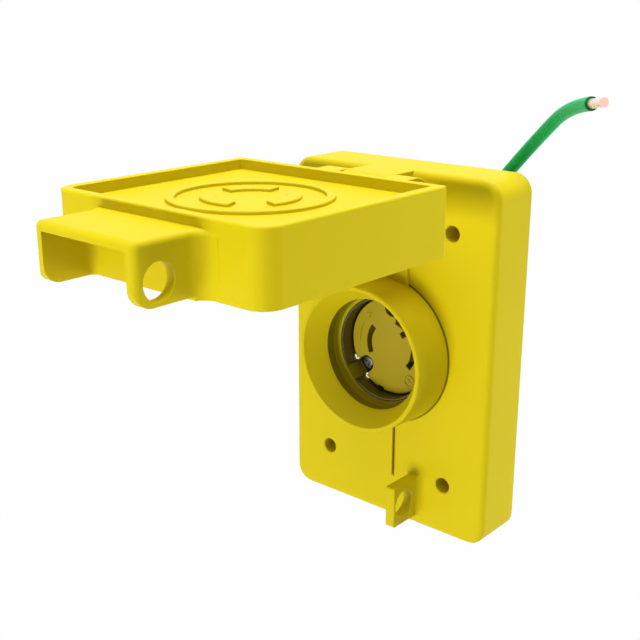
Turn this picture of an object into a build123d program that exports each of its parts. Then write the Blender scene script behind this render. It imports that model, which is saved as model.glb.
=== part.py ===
from build123d import *
import math
import os

# AC power socket: a locking receptacle in a moulded cover with a flip lid.
# X runs across the plate, Y into the wall, Z up, in millimetres.
# The origin is the middle of the plate's back plane. A "front" size counts
# from that plane towards the user, so a point at front f lies at Y = -f.

# Cover plate
PLATE_WIDTH = 85.0
PLATE_HEIGHT = 127.0
PLATE_FRONT = 19.7
PLATE_WALL = 3.0
PLATE_CORNER = 6.5
PLATE_EDGE_ROUND = 2.4
SCREW_PITCH_X = 51.2
SCREW_PITCH_Z = 89.4
SCREW_HOLE_RADIUS = 2.75
SCREW_HOLE_CHAMFER = 0.4
SCREW_BOSS_RADIUS = 5.2
WEB_THICKNESS = 2.0
WEB_BACK_FRONT = 7.0

# Round shroud and the tube behind it
SHROUD_BASE_RADIUS = 26.4
SHROUD_RIM_RADIUS = 25.6
SHROUD_LIP = 1.4
FUNNEL_DEPTH = 7.6
THROAT_RADIUS = 19.7
THROAT_DEPTH = 6.4
THROAT_ROUND = 0.9
SHROUD_EDGE_ROUND = 0.7
SOCKET_RADIUS = 18.7
TUBE_RADIUS = 22.8
SEAT_RADIUS = 20.1
SEAT_FRONT = 9.9
TUBE_BACK_FRONT = 5.5

# Hinge
BARREL_RADIUS = 8.75
BLOCK_HALF_WIDTH = 9.3
ARM_WIDTH = 9.0
ARM_GAP = 0.3
PIN_RADIUS = 2.0
PIN_FIT = 0.02
PIN_RUNNING = 0.06
PIN_END_INSET = 0.4
HEEL_HEIGHT = 3.5
HEEL_GAP = 0.3
BLOCK_SLOPE = 5.0
BAND_HEIGHT = 1.3
KNUCKLE_EDGE_ROUND = 0.4

# Lower rib and hasp lug on the plate
RIB_HALF_WIDTH = 4.55
RIB_HEIGHT = 1.2
RIB_END = 47.8
RIB_CORNER = 1.5
LUG_THICKNESS = 3.8
LUG_HEIGHT = 14.8
LUG_ROOF_GAP = 2.4
LUG_TOP_GAP = 0.9
LUG_ROOT_ROUND = 1.5
LUG_EDGE_ROUND = 0.6
LUG_HOLE_RADIUS = 5.0
LUG_HOLE_INSET = 5.8

# Flip lid, drawn open: its outer face is level
LID_WIDTH = 83.7
LID_LENGTH = 75.8
LID_HEIGHT = 20.9
LID_RISE = 2.6
LID_SEAT_GAP = 0.9
LID_WALL = 3.0
LID_FRONT_CORNER = 6.3
LID_BACK_CORNER = 1.2
LID_EDGE_ROUND = 0.7
LID_DRAFT_ANGLE = 0.4
RIM_WIDTH = 3.5
RIM_EDGE_ROUND = 0.3
RECESS_DEPTH = 3.3
PANEL_THICKNESS = 1.5
INNER_CORNER = 0.8
RING_RADIUS = 24.4
RING_WIDTH = 2.7
RING_HEIGHT = 1.0
RING_EDGE_ROUND = 0.35
NOTCH_SIDE_CLEARANCE = 1.7
NOTCH_CLEARANCE = 0.5

# Lid seal
SEAL_THICKNESS = 0.8
SEAL_GAP = 0.15
SEAL_LAND = 3.4
SEAL_RIB = 1.4
SEAL_RIB_GAP = 0.1

# Latch hood on the lid
HOOD_HALF_WIDTH = 20.0
HOOD_LENGTH = 21.2
HOOD_DROP = 2.9
HOOD_ROOF = 2.6
HOOD_WALL = 3.2
HOOD_BOTTOM_STEP = 1.0
HOOD_STEP_LENGTH = 3.0
HOOD_FLARE = 5.0
HOOD_ROUND = 1.8
HOOD_CORNER = 2.0
HOOD_TOE_ROUND = 5.0
HOOD_INNER_ROUND = 2.0
LUG_SIDE_GAP = 1.3
PADLOCK_HOLE_RADIUS = 5.1

# Receptacle face and the metal band round it
FACE_RADIUS = 17.4
FACE_FRONT = 16.6
FACE_THICKNESS = 7.0
SLOT_RADIUS = 9.7
SLOT_WIDTH = 2.2
HOOK_LENGTH = 2.4
NOTCH_RADIUS = 3.0
NOTCH_CENTRE = 13.9
NOTCH_DEPTH = 2.4
NOTCH_BOSS_GAP = 0.15
NOTCH_ANGLES = {"top": 90.0, "lower": 219.5}
KEY_ANGLE = 255.5
KEY_WIDTH = 2.8
KEY_DEPTH = 0.9
BAND_GAP = 0.5
BAND_THICKNESS = 0.5
BAND_LEDGE_GAP = 0.2
BAND_SEAL_GAP = 0.3
CLAW_LENGTH = 2.6
CLAW_WIDTH = 1.0
CLAW_LEG = 2.0
CLAW_THICKNESS = 0.4
FACE_SCREW_RADIUS = 1.3
FACE_SCREW_HEAD = 2.1
FACE_SCREW_HEAD_HEIGHT = 1.8
FACE_SCREW_LENGTH = 9.0
FACE_EDGE_CHAMFER = 0.35
SCREW_FIT = 0.05
SCREW_EDGE = 0.7

# Receptacle base, seal and strap
BASE_RADIUS = 18.1
BASE_GAP = 0.1
FLANGE_GAP = 0.4
FLANGE_THICKNESS = 3.0
BASE_SEAL_GAP = 0.1
BODY_RADIUS = 15.8
BODY_BACK = 14.0
STRAP_THICKNESS = 1.2
STRAP_GAP = 0.1
STRAP_RADIUS = 22.0
STRAP_EAR = 4.6
STRAP_CLEARANCE = 0.3
STRAP_SCREW_OFFSET = 27.6
STRAP_BOSS_RADIUS = 3.6
STRAP_SCREW_RADIUS = 1.4
STRAP_SCREW_HEAD = 2.9
STRAP_SCREW_HEAD_HEIGHT = 1.9
STRAP_SCREW_LENGTH = 8.0

# Contacts and terminals: slot start, slot end and terminal angle of each pole
POLES = {
    "line": (143.0, 205.0, 190.0),
    "neutral": (-41.0, 14.0, -28.0),
    "ground": (38.0, 80.0, 75.0),
}
LEAF_THICKNESS = 0.6
LEAF_CLEARANCE = 0.2
CHAMBER_CLEARANCE = 0.3
CHAMBER_END_ANGLE = 3.0
CONTACT_DEPTH = 10.0
CONTACT_WEB = 1.2
POCKET_WIDTH = 7.4
POCKET_FLOOR = 3.8
POCKET_INNER_RADIUS = 6.4
TAB_WIDTH = 6.6
TAB_LENGTH = 8.0
TAB_THICKNESS = 1.2
LINK_WIDTH = 4.0
LINK_LENGTH = 4.0
LINK_CLEARANCE = 0.15
TERMINAL_RADIUS = 9.6
TERMINAL_SCREW_RADIUS = 1.7
TERMINAL_SCREW_HEAD = 2.9
TERMINAL_SCREW_HEAD_HEIGHT = 2.2
TERMINAL_SCREW_LENGTH = 7.6
TERMINAL_SCREW_FIT = 0.1
CLAMP_THICKNESS = 1.0
CLAMP_LENGTH = 7.6

# Green ground wire: solid copper in green insulation
WIRE_RADIUS = 2.1
COPPER_RADIUS = 1.4
TIP_LENGTH = 9.5
ROOT_START_RADIUS = 12.0
WIRE_EXIT_GAP = 0.3
WIRE_POINTS = [
    (7.4, 6.4, 27.8),
    (13.2, 6.5, 39.6),
    (20.9, 6.4, 51.0),
    (30.0, 6.2, 62.4),
    (41.8, 5.2, 75.6),
    (54.8, -2.6, 85.9),
    (68.1, -15.0, 88.4),
]
ARC_SHARE = 0.45

# Modelling allowances: how far a joined shape sinks in, and how far a cut runs on
SEAT = 0.02
OVERRUN = 1.0

# Places that follow from the sizes above
hinge_z = PLATE_HEIGHT / 2 - BARREL_RADIUS
lid_top = PLATE_HEIGHT / 2 + LID_RISE
lid_rim = lid_top - LID_HEIGHT
closing_sum = lid_rim - PLATE_FRONT - LID_SEAT_GAP
hinge_y = closing_sum - hinge_z
lid_middle = hinge_y - hinge_z
lid_back = lid_middle + LID_LENGTH / 2
lid_front = lid_middle - LID_LENGTH / 2
panel_top = lid_top - RECESS_DEPTH
ceiling = panel_top - PANEL_THICKNESS
seal_face = ceiling - SEAL_THICKNESS
shroud_front = seal_face - closing_sum - SEAL_GAP
funnel_front = shroud_front - FUNNEL_DEPTH
ledge_front = funnel_front - THROAT_DEPTH
wall_front = PLATE_FRONT - PLATE_WALL
arm_inner = BLOCK_HALF_WIDTH + ARM_GAP
arm_outer = arm_inner + ARM_WIDTH
hood_front = lid_front - HOOD_LENGTH
hood_top = lid_top - HOOD_DROP
hood_bottom = lid_rim + HOOD_BOTTOM_STEP
step_back = lid_front - HOOD_STEP_LENGTH
hood_roof = hood_top - HOOD_ROOF
hood_inner = HOOD_HALF_WIDTH - HOOD_WALL
lug_right = hood_inner - LUG_SIDE_GAP
lug_front = hood_roof - closing_sum - LUG_ROOF_GAP
lug_bottom = hood_front - lid_middle
lug_middle = lug_bottom + LUG_HEIGHT / 2
lug_hole_front = lug_front - LUG_HOLE_INSET
room_back = lug_bottom + LUG_HEIGHT + lid_middle + LUG_TOP_GAP
padlock_y = lug_middle + lid_middle
padlock_z = closing_sum + lug_hole_front
face_back_front = FACE_FRONT - FACE_THICKNESS
notch_half_width = BLOCK_HALF_WIDTH + NOTCH_SIDE_CLEARANCE


def front_plane(front):
    """A plane parallel to the wall, facing the user, at this front size."""
    return Plane.XZ.offset(front)


def front_disc(radius, front, back, x=0.0, z=0.0):
    """A round solid along Y between two front sizes."""
    return extrude(front_plane(back) * Pos(x, z) * Circle(radius), front - back)


def front_box(width, height, front, back, x=0.0, z=0.0):
    """A block between two front sizes, centred at x and z."""
    return extrude(front_plane(back) * Pos(x, z) * Rectangle(width, height), front - back)


def side_disc(radius, x_from, x_to, y, z):
    """A round solid along X."""
    return extrude(Plane.YZ.offset(x_from) * Pos(y, z) * Circle(radius), x_to - x_from)


def arc_band(inner, outer, start, end):
    """A flat ring sector in the plane of the face, angles in degrees."""
    sweep = end - start
    outline = [
        CenterArc((0, 0), outer, start, sweep),
        CenterArc((0, 0), inner, start, sweep),
    ]
    sides = [Line(outline[0] @ 0, outline[1] @ 0), Line(outline[0] @ 1, outline[1] @ 1)]
    return make_face(outline + sides)


def turned(profile, rounds=()):
    """A solid of revolution about Y from (radius, front) points, with some corners rounded."""
    outline = Polyline([(radius, -front) for radius, front in profile], close=True)
    face = make_face(outline)
    for (radius, front), size in rounds:
        face = fillet(face.vertices().sort_by_distance((radius, -front))[0], size)
    return revolve(face, Axis.Y)


def at_angle(angle):
    """Turns a sketch made at 0 degrees round the face's middle."""
    return Rot(0, 0, angle)


def plate_outline(inset):
    return RectangleRounded(
        PLATE_WIDTH - 2 * inset, PLATE_HEIGHT - 2 * inset, PLATE_CORNER - inset
    )


def screw_places():
    return [
        (sx * SCREW_PITCH_X / 2, sz * SCREW_PITCH_Z / 2) for sx in (-1, 1) for sz in (-1, 1)
    ]


def plate_shell():
    """The open-backed plate with its rounded front edge and four screw bosses."""
    plate = extrude(front_plane(0) * plate_outline(0), PLATE_FRONT)
    plate = fillet(plate.faces().sort_by(Axis.Y)[0].edges(), PLATE_EDGE_ROUND)
    plate -= extrude(front_plane(0) * plate_outline(PLATE_WALL), wall_front)
    for x, z in screw_places():
        plate += front_disc(SCREW_BOSS_RADIUS, wall_front + SEAT, 0, x, z)
    return plate


def webs():
    """Moulded webs from the tube to the plate's walls, behind the front wall."""
    height = PLATE_HEIGHT - 2 * PLATE_WALL + 2 * SEAT
    width = PLATE_WIDTH - 2 * PLATE_WALL + 2 * SEAT
    upright = front_box(WEB_THICKNESS, height, wall_front + SEAT, WEB_BACK_FRONT)
    level = front_box(width, WEB_THICKNESS, wall_front + SEAT, WEB_BACK_FRONT)
    return upright + level


def shroud():
    """The tapered shroud in front of the plate and the tube behind it."""
    base_front = PLATE_FRONT - PLATE_EDGE_ROUND
    profile = [
        (0, shroud_front),
        (SHROUD_RIM_RADIUS, shroud_front),
        (SHROUD_BASE_RADIUS, base_front),
        (TUBE_RADIUS, base_front),
        (TUBE_RADIUS, TUBE_BACK_FRONT),
        (0, TUBE_BACK_FRONT),
    ]
    return turned(profile, [((SHROUD_RIM_RADIUS, shroud_front), SHROUD_EDGE_ROUND)])


def socket_bore():
    """The funnel, throat, bore and seal seat, as the space that they leave open."""
    mouth = SHROUD_RIM_RADIUS - SHROUD_LIP
    profile = [
        (0, shroud_front + OVERRUN),
        (mouth, shroud_front + OVERRUN),
        (mouth, shroud_front),
        (THROAT_RADIUS, funnel_front),
        (THROAT_RADIUS, ledge_front),
        (SOCKET_RADIUS, ledge_front),
        (SOCKET_RADIUS, SEAT_FRONT),
        (SEAT_RADIUS, SEAT_FRONT),
        (SEAT_RADIUS, TUBE_BACK_FRONT - OVERRUN),
        (0, TUBE_BACK_FRONT - OVERRUN),
    ]
    return turned(profile, [((THROAT_RADIUS, ledge_front), THROAT_ROUND)])


def hinge_block():
    """The middle knuckle: level with the plate's top, with a band down to the shroud."""
    root = -PLATE_FRONT + PLATE_EDGE_ROUND + SEAT
    top = hinge_z + BARREL_RADIUS
    low = hinge_z - BARREL_RADIUS
    band = -PLATE_FRONT - BAND_HEIGHT
    edges = [
        Line((root, top), (hinge_y, top)),
        ThreePointArc(
            (hinge_y, top), (hinge_y - BARREL_RADIUS, hinge_z), (hinge_y, low)
        ),
        Polyline(
            (hinge_y, low), (band, low - BLOCK_SLOPE), (band, 0), (root, 0), (root, top)
        ),
    ]
    block = extrude(Plane.YZ * make_face(edges), BLOCK_HALF_WIDTH, both=True)
    rounded = block.edges().filter_by(lambda edge: edge.center().Y < hinge_y)
    return fillet(rounded.filter_by(GeomType.CIRCLE), KNUCKLE_EDGE_ROUND)


def lower_rib():
    """The raised rib between the shroud and the lug."""
    outline = RectangleRounded(2 * RIB_HALF_WIDTH, 2 * RIB_END, RIB_CORNER)
    rib = extrude(front_plane(PLATE_FRONT - SEAT) * outline, SEAT + RIB_HEIGHT)
    return rib & front_box(PLATE_WIDTH, RIB_END, shroud_front, 0, 0, -RIB_END / 2)


def hasp_lug():
    """The flat eye that the padlock's shackle goes through."""
    x = lug_right - LUG_THICKNESS / 2
    base = PLATE_FRONT - SEAT
    round_front = PLATE_FRONT + LUG_ROOT_ROUND
    lug = front_box(LUG_THICKNESS, LUG_HEIGHT, lug_front, base, x, lug_middle)
    lug = fillet(lug.faces().sort_by(Axis.Y)[0].edges(), LUG_EDGE_ROUND)
    foot_width = LUG_THICKNESS + 2 * LUG_ROOT_ROUND
    foot_height = LUG_HEIGHT + 2 * LUG_ROOT_ROUND
    foot = front_box(foot_width, foot_height, round_front, base, x, lug_middle)
    for side in (-1, 1):
        groove = Pos(x + side * foot_width / 2, -round_front) * Circle(LUG_ROOT_ROUND)
        foot -= extrude(Plane.XY.offset(lug_middle) * groove, foot_height, both=True)
        foot -= side_disc(LUG_ROOT_ROUND, x - foot_width, x + foot_width,
                          -round_front, lug_middle + side * foot_height / 2)
    lug += foot
    return lug - side_disc(LUG_HOLE_RADIUS, x - foot_width, x + foot_width,
                           -lug_hole_front, lug_middle)


def strap_bosses():
    """Two bosses inside the plate that take the strap's screws."""
    bosses = front_disc(STRAP_BOSS_RADIUS, wall_front + SEAT, TUBE_BACK_FRONT,
                        STRAP_SCREW_OFFSET)
    return bosses + mirror(bosses, Plane.YZ)


def housing():
    body = plate_shell() + webs() + shroud() + hinge_block() + lower_rib() + hasp_lug()
    body += strap_bosses()
    body -= socket_bore()
    body -= side_disc(PIN_RADIUS + PIN_FIT, -arm_outer, arm_outer, hinge_y, hinge_z)
    for x, z in screw_places():
        body -= front_disc(SCREW_HOLE_RADIUS, PLATE_FRONT + OVERRUN, -OVERRUN, x, z)
        mouth = SCREW_HOLE_RADIUS + SCREW_HOLE_CHAMFER
        cone = Cone(SCREW_HOLE_RADIUS, mouth, SCREW_HOLE_CHAMFER)
        body -= front_plane(PLATE_FRONT - SCREW_HOLE_CHAMFER / 2) * Pos(x, z) * cone
    for side in (-1, 1):
        body -= front_disc(STRAP_SCREW_RADIUS + SCREW_FIT,
                           TUBE_BACK_FRONT + STRAP_SCREW_LENGTH, TUBE_BACK_FRONT - OVERRUN,
                           side * STRAP_SCREW_OFFSET)
    return body


def lid_outline(inset):
    """The lid's plan, with large front corners and small back ones."""
    plan = Pos(0, lid_middle) * Rectangle(LID_WIDTH - 2 * inset, LID_LENGTH - 2 * inset)
    front = plan.vertices().group_by(Axis.Y)[0]
    plan = fillet(front, max(LID_FRONT_CORNER - inset, INNER_CORNER))
    back = plan.vertices().group_by(Axis.Y)[-1]
    return fillet(back, max(LID_BACK_CORNER - inset, INNER_CORNER))


def lid_box():
    """The lid's outer block, drafted from the rim, with the recess in its outer face."""
    box = extrude(Plane.XY.offset(lid_rim) * lid_outline(0), LID_HEIGHT, taper=LID_DRAFT_ANGLE)
    box = fillet(box.faces().sort_by(Axis.Z)[-1].edges(), LID_EDGE_ROUND)
    recess = extrude(Plane.XY.offset(panel_top) * lid_outline(RIM_WIDTH), RECESS_DEPTH + OVERRUN)
    box -= recess
    lip = box.faces().sort_by(Axis.Z)[-1].inner_wires()[0]
    return fillet(lip.edges(), RIM_EDGE_ROUND)


def lid_hollow():
    """The space under the lid's panel, with the bay that runs on to the hood's web."""
    depth = ceiling - lid_rim + OVERRUN
    hollow = extrude(Plane.XY.offset(ceiling) * lid_outline(LID_WALL), -depth)
    bay = Pos(0, (step_back + lid_middle) / 2) * Rectangle(2 * hood_inner, lid_middle - step_back)
    return hollow + extrude(Plane.XY.offset(hood_roof) * bay, -depth)


def panel_ring():
    """The raised ring in the middle of the panel."""
    inner = RING_RADIUS - RING_WIDTH
    profile = Polyline(
        (inner, panel_top - SEAT), (RING_RADIUS, panel_top - SEAT),
        (RING_RADIUS, panel_top + RING_HEIGHT), (inner, panel_top + RING_HEIGHT), close=True,
    )
    face = make_face(profile)
    face = fillet(face.vertices().group_by(Axis.Y)[-1], RING_EDGE_ROUND)
    return Pos(0, lid_middle, 0) * revolve(Plane.XZ * face, Axis.Z)


def seal_ring_outline():
    middle = SHROUD_RIM_RADIUS - SHROUD_LIP / 2
    return Circle(middle + SEAL_LAND) - Circle(middle - SEAL_LAND)


def seal_rib():
    """The rib on the lid's ceiling that the seal is pressed into."""
    inner = SHROUD_RIM_RADIUS - SHROUD_LIP / 2 + SEAL_LAND + SEAL_RIB_GAP
    rib = Circle(inner + SEAL_RIB) - Circle(inner)
    return extrude(Plane.XY.offset(ceiling + SEAT) * Pos(0, lid_middle) * rib,
                   -SEAL_THICKNESS - SEAT)


def hinge_arms():
    """The two outer knuckles, their arms and the heels that stop the lid level."""
    top = hinge_z + BARREL_RADIUS
    low = hinge_z - BARREL_RADIUS
    root = lid_back - LID_WALL / 2
    heel = -PLATE_FRONT - HEEL_GAP
    link = Polyline((hinge_y, low), (root, low), (root, top), (hinge_y, top), close=True)
    stop = Polyline(
        (hinge_y, hinge_z), (heel, hinge_z), (heel, hinge_z + HEEL_HEIGHT),
        (hinge_y, hinge_z + HEEL_HEIGHT), close=True,
    )
    outline = make_face(link) + Pos(hinge_y, hinge_z) * Circle(BARREL_RADIUS)
    outline += make_face(stop)
    arm = extrude(Plane.YZ.offset(arm_inner) * outline, ARM_WIDTH)
    rounded = arm.edges().filter_by(GeomType.CIRCLE)
    arm = fillet(rounded, KNUCKLE_EDGE_ROUND)
    return arm + mirror(arm, Plane.YZ)


def hood_plan():
    """The hood's plan: round front corners, and a flare into the lid's front wall."""
    root = lid_front + LID_WALL
    shelf_width = 2 * (HOOD_HALF_WIDTH + HOOD_FLARE + OVERRUN)
    shelf = Pos(0, (root + lid_front) / 2) * Rectangle(shelf_width, root - lid_front)
    length = root - hood_front
    plan = shelf + Pos(0, root - length / 2) * Rectangle(2 * HOOD_HALF_WIDTH, length)
    corners = [
        plan.vertices().sort_by_distance((side * HOOD_HALF_WIDTH, lid_front))[0]
        for side in (-1, 1)
    ]
    plan = fillet(corners, HOOD_FLARE)
    return fillet(plan.vertices().group_by(Axis.Y)[0], HOOD_CORNER)


def hood_toe():
    """What is cut off under the hood's front edge to leave its rounded toe."""
    size = HOOD_TOE_ROUND
    block = Pos(0, hood_front, hood_bottom) * Box(4 * HOOD_HALF_WIDTH, 2 * size, 2 * size)
    return block - side_disc(size, -2 * HOOD_HALF_WIDTH, 2 * HOOD_HALF_WIDTH,
                             hood_front + size, hood_bottom + size)


def latch_hood():
    """The hood that covers the lug, open in front and below, with its step underneath."""
    hood = extrude(Plane.XY.offset(lid_rim) * hood_plan(), hood_top - lid_rim)
    step = Pos(0, step_back - HOOD_LENGTH / 2, (lid_rim + hood_bottom) / 2)
    hood -= step * Box(4 * HOOD_HALF_WIDTH, HOOD_LENGTH, HOOD_BOTTOM_STEP)
    roof = hood.faces().sort_by(Axis.Z)[-1]
    roof_edges = roof.edges().filter_by(lambda edge: edge.center().Y < lid_front - HOOD_FLARE)
    return fillet(roof_edges, HOOD_ROUND) - hood_toe()


def hood_room():
    """The space in the hood for the lug and the padlock's shackle."""
    length = room_back - hood_front + OVERRUN
    plan = Pos(0, room_back - length / 2) * Rectangle(2 * hood_inner, length)
    plan = fillet(plan.vertices().group_by(Axis.Y)[-1], HOOD_INNER_ROUND)
    return extrude(Plane.XY.offset(hood_roof) * plan, lid_rim - hood_roof - OVERRUN)


def rim_notch():
    """The cut-out in the lid's back wall that passes the plate's band when it closes."""
    rise = BAND_HEIGHT - LID_SEAT_GAP + NOTCH_CLEARANCE
    return Pos(0, lid_back, lid_rim) * Box(2 * notch_half_width, 3 * LID_WALL, 2 * rise)


def lid():
    body = lid_box() + hinge_arms() + latch_hood() - lid_hollow() - hood_room()
    body += panel_ring() + seal_rib()
    body -= rim_notch()
    pin_end = arm_outer + OVERRUN
    body -= side_disc(PIN_RADIUS + PIN_RUNNING, -pin_end, pin_end, hinge_y, hinge_z)
    body -= side_disc(PADLOCK_HOLE_RADIUS, 0, HOOD_HALF_WIDTH + OVERRUN, padlock_y, padlock_z)
    return body


def hinge_pin():
    end = arm_outer - PIN_END_INSET
    return side_disc(PIN_RADIUS, -end, end, hinge_y, hinge_z)


def lid_seal():
    """The flat rubber ring that meets the shroud's rim when the lid is shut."""
    return extrude(Plane.XY.offset(ceiling) * Pos(0, lid_middle) * seal_ring_outline(),
                   -SEAL_THICKNESS)


def notch_outline(half_width):
    """A screw notch's outline: round inside, open at the face's edge."""
    mouth = Pos(NOTCH_CENTRE + FACE_RADIUS / 2, 0) * Rectangle(FACE_RADIUS, 2 * half_width)
    return mouth + Pos(NOTCH_CENTRE, 0) * Circle(half_width)


def screw_notch(angle, front, back):
    """The space of a screw notch between two front sizes."""
    outline = at_angle(angle) * notch_outline(NOTCH_RADIUS)
    return extrude(front_plane(back) * outline, front - back)


def slot_outline(start, end, hooked):
    inner = SLOT_RADIUS - SLOT_WIDTH / 2
    outline = arc_band(inner, SLOT_RADIUS + SLOT_WIDTH / 2, start, end)
    if hooked:
        hook = Pos(inner - HOOK_LENGTH / 2 + SLOT_WIDTH / 4, SLOT_WIDTH / 2)
        outline += at_angle(start) * hook * Rectangle(HOOK_LENGTH + SLOT_WIDTH / 2, SLOT_WIDTH)
    return outline


def receptacle_face():
    """The round face with three arc slots, two screw notches and a key notch."""
    face = front_disc(FACE_RADIUS, FACE_FRONT, face_back_front)
    face = chamfer(face.faces().sort_by(Axis.Y)[0].edges(), FACE_EDGE_CHAMFER)
    back = front_plane(face_back_front - OVERRUN)
    through = FACE_THICKNESS + 2 * OVERRUN
    for pole, (start, end, _) in POLES.items():
        face -= extrude(back * slot_outline(start, end, pole == "ground"), through)
    for angle in NOTCH_ANGLES.values():
        face -= screw_notch(angle, FACE_FRONT + OVERRUN, face_back_front - OVERRUN)
    key = Pos(FACE_RADIUS, 0) * Rectangle(2 * KEY_DEPTH, KEY_WIDTH)
    return face - extrude(back * at_angle(KEY_ANGLE) * key, through)


def screw_place(angle):
    turn = math.radians(angle)
    return NOTCH_CENTRE * math.cos(turn), NOTCH_CENTRE * math.sin(turn)


def claw_outline(side):
    """A claw beside a notch: one leg on the face's edge, one along the notch."""
    inner = FACE_RADIUS + BAND_GAP
    half_notch = math.degrees(math.asin(NOTCH_RADIUS / inner))
    claw_turn = math.degrees(CLAW_LENGTH / inner)
    edge_leg = arc_band(FACE_RADIUS - CLAW_WIDTH, inner + SEAT, half_notch, half_notch + claw_turn)
    start = FACE_RADIUS - CLAW_LEG
    notch_leg = Pos((start + FACE_RADIUS) / 2, NOTCH_RADIUS + CLAW_WIDTH / 2)
    claw = edge_leg + notch_leg * Rectangle(CLAW_LEG, CLAW_WIDTH)
    return claw if side > 0 else mirror(claw, Plane.XZ)


def face_band():
    """The plated band in front of and round the face, with two claws at each notch."""
    inner = FACE_RADIUS + BAND_GAP
    outer = inner + BAND_THICKNESS
    front = ledge_front - BAND_LEDGE_GAP
    back = SEAT_FRONT + BAND_SEAL_GAP
    band = extrude(front_plane(back) * (Circle(outer) - Circle(inner)), front - back)
    for angle in NOTCH_ANGLES.values():
        band -= screw_notch(angle, front + OVERRUN, FACE_FRONT - NOTCH_DEPTH)
        for side in (-1, 1):
            claw = at_angle(angle) * claw_outline(side)
            band += extrude(front_plane(FACE_FRONT + SEAT) * claw, CLAW_THICKNESS)
    return band


def screw(radius, head_radius, head_height, length, seat_front, x, z, towards_user=True):
    """A round-headed screw along Y, seated with its head on a plane."""
    way = 1 if towards_user else -1
    shank = front_disc(radius, seat_front, seat_front - way * length, x, z)
    head = front_disc(head_radius, seat_front + way * head_height, seat_front, x, z)
    crown = head.faces().sort_by(Axis.Y)[0 if towards_user else -1]
    return shank + chamfer(crown.edges(), SCREW_EDGE)


def face_screw(angle):
    x, z = screw_place(angle)
    return screw(FACE_SCREW_RADIUS, FACE_SCREW_HEAD, FACE_SCREW_HEAD_HEIGHT,
                 FACE_SCREW_LENGTH, FACE_FRONT - NOTCH_DEPTH, x, z)


def pocket(angle):
    """The open terminal pocket in the base's rear, at this angle."""
    length = BODY_RADIUS + OVERRUN - POCKET_INNER_RADIUS
    outline = Pos(POCKET_INNER_RADIUS + length / 2, 0) * Rectangle(length, POCKET_WIDTH)
    return extrude(front_plane(-BODY_BACK - OVERRUN) * at_angle(angle) * outline,
                   BODY_BACK + OVERRUN - POCKET_FLOOR)


def link_outline(clearance):
    size = LINK_LENGTH + 2 * clearance
    return Pos(TERMINAL_RADIUS, 0) * Rectangle(size, LINK_WIDTH + 2 * clearance)


def contact_limits():
    inner = SLOT_RADIUS - SLOT_WIDTH / 2 - LEAF_CLEARANCE
    outer = SLOT_RADIUS + SLOT_WIDTH / 2 + LEAF_CLEARANCE
    return inner, outer


def receptacle_base():
    """The rear moulding: chambers in front, a clamped flange, terminal pockets behind."""
    base_front = face_back_front - BASE_GAP
    flange_front = TUBE_BACK_FRONT + FLANGE_THICKNESS
    base = turned([
        (0, base_front),
        (BASE_RADIUS, base_front),
        (BASE_RADIUS, flange_front),
        (SEAT_RADIUS - FLANGE_GAP, flange_front),
        (SEAT_RADIUS - FLANGE_GAP, TUBE_BACK_FRONT),
        (BODY_RADIUS, TUBE_BACK_FRONT),
        (BODY_RADIUS, -BODY_BACK),
        (0, -BODY_BACK),
    ])
    inner, outer = contact_limits()
    web_back = base_front - CONTACT_DEPTH
    for start, end, terminal in POLES.values():
        chamber = arc_band(inner - LEAF_THICKNESS - CHAMBER_CLEARANCE,
                           outer + LEAF_THICKNESS + CHAMBER_CLEARANCE,
                           start - CHAMBER_END_ANGLE, end + CHAMBER_END_ANGLE)
        base -= extrude(front_plane(web_back) * chamber, CONTACT_DEPTH + OVERRUN)
        base -= pocket(terminal)
        base -= extrude(front_plane(-POCKET_FLOOR - OVERRUN) * at_angle(terminal) *
                        link_outline(LINK_CLEARANCE), web_back + POCKET_FLOOR + 2 * OVERRUN)
    for angle in NOTCH_ANGLES.values():
        boss = notch_outline(NOTCH_RADIUS - NOTCH_BOSS_GAP) & Circle(FACE_RADIUS)
        base += extrude(front_plane(base_front - SEAT) * at_angle(angle) * boss,
                        FACE_FRONT - NOTCH_DEPTH - base_front + SEAT)
        x, z = screw_place(angle)
        tip = FACE_FRONT - NOTCH_DEPTH - FACE_SCREW_LENGTH - OVERRUN
        base -= front_disc(FACE_SCREW_RADIUS + SCREW_FIT, FACE_FRONT, tip, x, z)
    return base


def contact(start, end, terminal):
    """A sprung brass channel behind its slot, with a tab on the pocket's floor."""
    base_front = face_back_front - BASE_GAP
    web_back = base_front - CONTACT_DEPTH
    inner, outer = contact_limits()
    whole = arc_band(inner - LEAF_THICKNESS, outer + LEAF_THICKNESS, start, end)
    channel = extrude(front_plane(web_back) * whole, CONTACT_DEPTH)
    gap = arc_band(inner, outer, start - CHAMBER_END_ANGLE, end + CHAMBER_END_ANGLE)
    channel -= extrude(front_plane(web_back + CONTACT_WEB) * gap, CONTACT_DEPTH)
    link = extrude(front_plane(-POCKET_FLOOR) * at_angle(terminal) * link_outline(0),
                   web_back + POCKET_FLOOR + SEAT)
    tab = Pos(TERMINAL_RADIUS + TAB_LENGTH / 2 - LINK_LENGTH / 2, 0)
    tab_plate = extrude(front_plane(-POCKET_FLOOR - TAB_THICKNESS) * at_angle(terminal) *
                        tab * Rectangle(TAB_LENGTH, TAB_WIDTH), TAB_THICKNESS)
    x, z = terminal_place(terminal)
    hole = front_disc(TERMINAL_SCREW_RADIUS + TERMINAL_SCREW_FIT, web_back + SEAT,
                      -POCKET_FLOOR - TAB_THICKNESS - OVERRUN, x, z)
    return channel + link + tab_plate - hole


def terminal_place(angle):
    turn = math.radians(angle)
    return TERMINAL_RADIUS * math.cos(turn), TERMINAL_RADIUS * math.sin(turn)


def clamp_back():
    """Y of the clamp plate's inner face: the tab, then the bare copper."""
    return POCKET_FLOOR + TAB_THICKNESS + 2 * COPPER_RADIUS


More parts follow.
